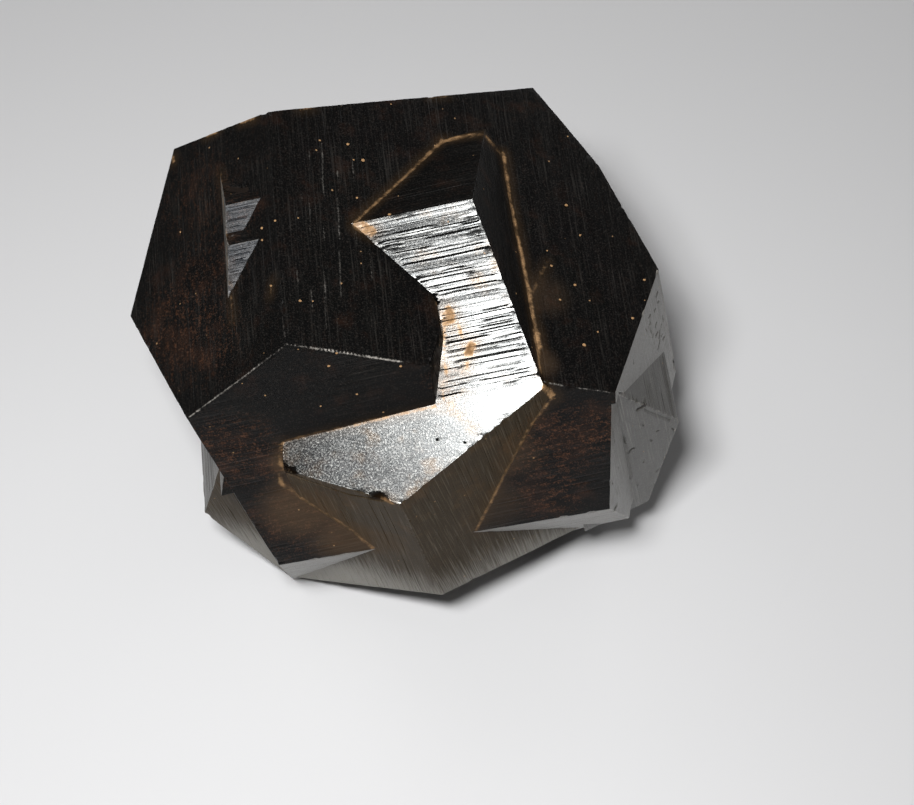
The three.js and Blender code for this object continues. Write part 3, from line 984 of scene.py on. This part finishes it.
def dust_cover(node, marks):
    """How much tan dust lies in the creases, how much brown haze beside them, and how much each stuck speck
    covers."""
    apart = node("ShaderNodeMath", (marks.uneven, -DUST_RAGGED_FINE, marks.dust_mm), operation="MULTIPLY_ADD")
    apart = node("ShaderNodeMath", (marks.lumpy, -DUST_RAGGED_COARSE, apart), operation="MULTIPLY_ADD")
    coarse = node("ShaderNodeMath", (marks.crumbs, 0.6), operation="MULTIPLY")
    patchy = node("ShaderNodeMath", (marks.blotches, 0.4, coarse), operation="MULTIPLY_ADD")
    patchy = node("ShaderNodeMapRange", (patchy, 0.40, 0.58, 0.3, 1.0), **SOFT)
    dust = node("ShaderNodeMapRange", (apart, *DUST_FADE), **SOFT)
    dust = node("ShaderNodeMath", (dust, marks.dust_load), operation="MULTIPLY")
    dust = node("ShaderNodeMath", (dust, patchy), operation="MULTIPLY")
    haze = node("ShaderNodeMapRange", (apart, *HAZE_FADE, 0.0, 0.40), **SOFT)
    haze = node("ShaderNodeMath", (haze, marks.dust_load), operation="MULTIPLY")
    cells = {"Vector": marks.place, "Scale": 1 / SPOT_SPACING}
    ragged = node("ShaderNodeMath", (marks.specks, 0.5), operation="SUBTRACT")
    spot = node("ShaderNodeMath", (ragged, SPOT_RAGGED, node("ShaderNodeTexVoronoi", cells)),
                operation="MULTIPLY_ADD")
    spot = node("ShaderNodeMapRange", (spot, *SPOT_FADE, 0.0, SPOT_COVER), **SOFT)
    chance = node("ShaderNodeSeparateColor", (node("ShaderNodeTexVoronoi", cells, out="Color"),))
    chosen = node("ShaderNodeMath", (chance, SPOTLESS_SHARE), operation="GREATER_THAN")
    return dust, haze, node("ShaderNodeMath", (spot, chosen), operation="MULTIPLY")


def face_roughness(node, marks, finish, pit_shade, dust, spots):
    """Roughness of a face: uneven over the oxide, duller where rusty or filmed, matt under dust and painted
    pit shade.
    """
    rusty = node("ShaderNodeMath", (marks.rust, 0.5), operation="MULTIPLY")
    dulled = node("ShaderNodeMath", (marks.film, rusty), operation="MAXIMUM")
    least, most = finish["roughness"] - 0.05, finish["roughness"] + 0.08
    bare = node("ShaderNodeMapRange", (marks.specks, 0.3, 0.7, least, most), **SOFT)
    bare = node("ShaderNodeMath", (dulled, 0.25, bare), operation="MULTIPLY_ADD")
    spots = node("ShaderNodeMath", (spots, 1.3), operation="MULTIPLY")
    matt = node("ShaderNodeMath", (dust, spots), operation="MAXIMUM")
    matt = node("ShaderNodeMath", (matt, pit_shade), operation="MAXIMUM")
    return node("ShaderNodeMix", {SHARE: matt, NUMBER_BELOW: bare, NUMBER_ABOVE: MATT_ROUGHNESS})


def face_relief(node, marks, finish):
    """Fine growth lines where the face is stepped, with the oxide's grain over them."""
    lined = node("ShaderNodeMath", (marks.lines, marks.grown), operation="MULTIPLY")
    lined = node("ShaderNodeBump", {"Height": lined, "Distance": finish["line_depth"] * MM, "Strength": 1.0})
    finest = node("ShaderNodeMath", (marks.specks, 0.6), operation="MULTIPLY")
    grain = node("ShaderNodeMath", (marks.flecks, 0.4, finest), operation="MULTIPLY_ADD")
    return node("ShaderNodeBump", {
        "Height": grain, "Distance": finish["grain_depth"] * MM, "Strength": 1.0, "Normal": lined})


def oxidised_pyrite(finish):
    """Pyrite that grew in fine parallel steps and then weathered to brown iron oxide: dark, with a gleam
    along the steps, rusty blotches, pale edges that are rubbed wear and painted highlight, painted shade in
    the pits, painted glints on the dull faces and tan dust in the creases."""
    material = bpy.data.materials.new(finish["name"])
    material.use_nodes = True
    material.node_tree.nodes.clear()
    node = partial(add, material.node_tree)
    marks = face_patterns(node)
    # Painted shade in the pits, cracks and bites
    pit_shade = painted_pit_shade(node, marks)
    dust, haze, spots = dust_cover(node, marks)
    crumbly = node("ShaderNodeMapRange", (marks.flecks, 0.1, 0.9), **SOFT)
    tans = {COLOUR_BELOW: linear(DUST_DARK), COLOUR_ABOVE: linear(DUST_PALE)}
    tan = node("ShaderNodeMix", {SHARE: crumbly, **tans}, COLOUR_OUT, data_type="RGBA")
    colour = linear(finish["dark"])
    for share, above in [
        *weathered_layers(node, marks, finish), *rubbed_layers(node, marks, finish),
        (pit_shade, linear(PIT_SHADE)), (haze, linear(DUST_HAZE)), (dust, tan), (spots, linear(DUST_PALE)),
    ]:
        colour = node("ShaderNodeMix", {SHARE: share, COLOUR_BELOW: colour, COLOUR_ABOVE: above},
                      COLOUR_OUT, data_type="RGBA")
    shader = node("ShaderNodeBsdfPrincipled", {
        "Base Color": colour, "Metallic": finish["metal"], "IOR": finish["refraction"],
        "Specular IOR Level": finish["gloss"], "Normal": face_relief(node, marks, finish),
        "Roughness": face_roughness(node, marks, finish, pit_shade, dust, spots)})
    node("ShaderNodeOutputMaterial", {"Surface": shader})
    return material


def dried_clay_dust():
    """Clay dust that dried on the faces: matt, crumbly and tan, with hardly any gloss."""
    material = bpy.data.materials.new("dried clay dust")
    material.use_nodes = True
    material.node_tree.nodes.clear()
    node = partial(add, material.node_tree)
    metres = node("ShaderNodeTexCoord", out="Object")
    crumbs = node("ShaderNodeTexNoise", {"Vector": metres, "Scale": 1 / (CRUMB_SIZE * MM), "Detail": 3.0})
    tans = {COLOUR_BELOW: linear(DUST_DARK), COLOUR_ABOVE: linear(DUST_PALE)}
    tan = node("ShaderNodeMix", {SHARE: crumbs, **tans}, COLOUR_OUT, data_type="RGBA")
    rough = node("ShaderNodeBump", {"Height": crumbs, "Distance": CRUMB_RELIEF * MM, "Strength": 1.0})
    shader = node("ShaderNodeBsdfPrincipled", {
        "Base Color": tan, "Roughness": 0.9, "Specular IOR Level": 0.2, "Normal": rough})
    node("ShaderNodeOutputMaterial", {"Surface": shader})
    return material


def matt_card():
    """Pale uncoated card: matt all over, so that shadows lie softly on it."""
    material = bpy.data.materials.new("matt card")
    material.use_nodes = True
    shader = material.node_tree.nodes["Principled BSDF"]
    shader.inputs["Base Color"].default_value = linear(FLOOR_COLOUR)
    shader.inputs["Roughness"].default_value = 0.8
    return material


def striated_crystals():
    """The whole twin with its growth steps and wear, in its six finishes."""
    places, triangles, grain, finish, measures = build_cluster()
    for name, lines in (("dust", DUST_LINES), ("worn", WORN_LINES), ("pit", PIT_LINES)):
        measures[f"{name}_mm"], measures[f"{name}_load"] = along_lines(places, lines)
    measures["rust"] = patches(places, RUST_PLACES)
    measures["film"] = patches(places, FILM_PLACES)
    measures["low"] = 1 - ramp(places[:, 2], *GREY_FADE)
    cluster = mesh_object("striated_crystals", places, triangles, grain, finish, measures)
    for name in FINISH_ORDER:
        cluster.data.materials.append(oxidised_pyrite(FINISHES[name]))
    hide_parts(NODE)
    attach(cluster, "root")


def dust_grains():
    """Grains of dried tan dust, each a rough pebble sunk halfway into the face that it lies on."""
    chance = np.random.default_rng(5)
    mesh = bpy.data.meshes.new("dust_grains")
    made = bmesh.new()
    for grain_place in GRAINS:
        centre = to_row(grain_place)
        nearest = min(faces, key=lambda face: abs(centre @ face.out - face.distance))
        centre = centre - (centre @ nearest.out - nearest.distance + GRAIN_SUNK) * nearest.out
        added = bmesh.ops.create_icosphere(made, subdivisions=2, radius=1.0)["verts"]
        radius = chance.uniform(*GRAIN_RADIUS)
        size = radius * np.array([1.0, chance.uniform(*GRAIN_WIDTH), chance.uniform(*GRAIN_HEIGHT)])
        least, more = LUMP_RANGE
        for vert in added:
            bump = least + more * float(noise(np.array(vert.co) * 2 + centre, LUMP_SIZE, 71)[0])
            vert.co = Vector((centre + np.array(vert.co) * size * bump) * MM)
    made.to_mesh(mesh)
    made.free()
    grains = new_object("dust_grains", mesh)
    grains.data.materials.append(dried_clay_dust())
    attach(grains, "root")


def floor():
    size = FLOOR_HALF_WIDTH * MM
    mesh = bpy.data.meshes.new("floor")
    corners = [(-size, -size, 0), (size, -size, 0), (size, size, 0), (-size, size, 0)]
    mesh.from_pydata(corners, [], [(0, 1, 2, 3)])
    made = new_object("floor", mesh)
    made.data.materials.append(matt_card())


def soft_light(name, place, width, power):
    data = bpy.data.lights.new(name, "AREA")
    data.shape, data.size, data.energy = "DISK", width * MM, power
    made = new_object(name, data)
    made.location = Vector(place) * MM
    made.rotation_mode = "QUATERNION"
    made.rotation_quaternion = (made.location - Vector(LIGHT_AIM) * MM).to_track_quat("Z", "Y")


def room():
    """Even grey light from all around."""
    world = bpy.data.worlds.new("room")
    bpy.context.scene.world = world
    world.use_nodes = True
    background = world.node_tree.nodes["Background"]
    background.inputs["Color"].default_value = linear(ROOM_COLOUR)
    background.inputs["Strength"].default_value = ROOM_STRENGTH


def camera():
    data = bpy.data.cameras.new("camera")
    data.sensor_width, data.sensor_fit = SENSOR, "HORIZONTAL"
    data.lens = FOCAL_PIXELS * SENSOR / IMAGE_WIDTH
    data.clip_start, data.clip_end = (distance * MM for distance in CAMERA_CLIP)
    made = new_object("camera", data)
    axes = Matrix((CAMERA_RIGHT, -Vector(CAMERA_DOWN), -Vector(CAMERA_FORWARD))).transposed().to_4x4()
    made.matrix_world = Matrix.Translation(Vector(CAMERA_PLACE) * MM) @ axes
    bpy.context.scene.camera = made


striated_crystals()
dust_grains()
floor()
for light in LIGHTS:
    soft_light(*light)
room()
bpy.context.scene.view_settings.view_transform = "Standard"
camera()
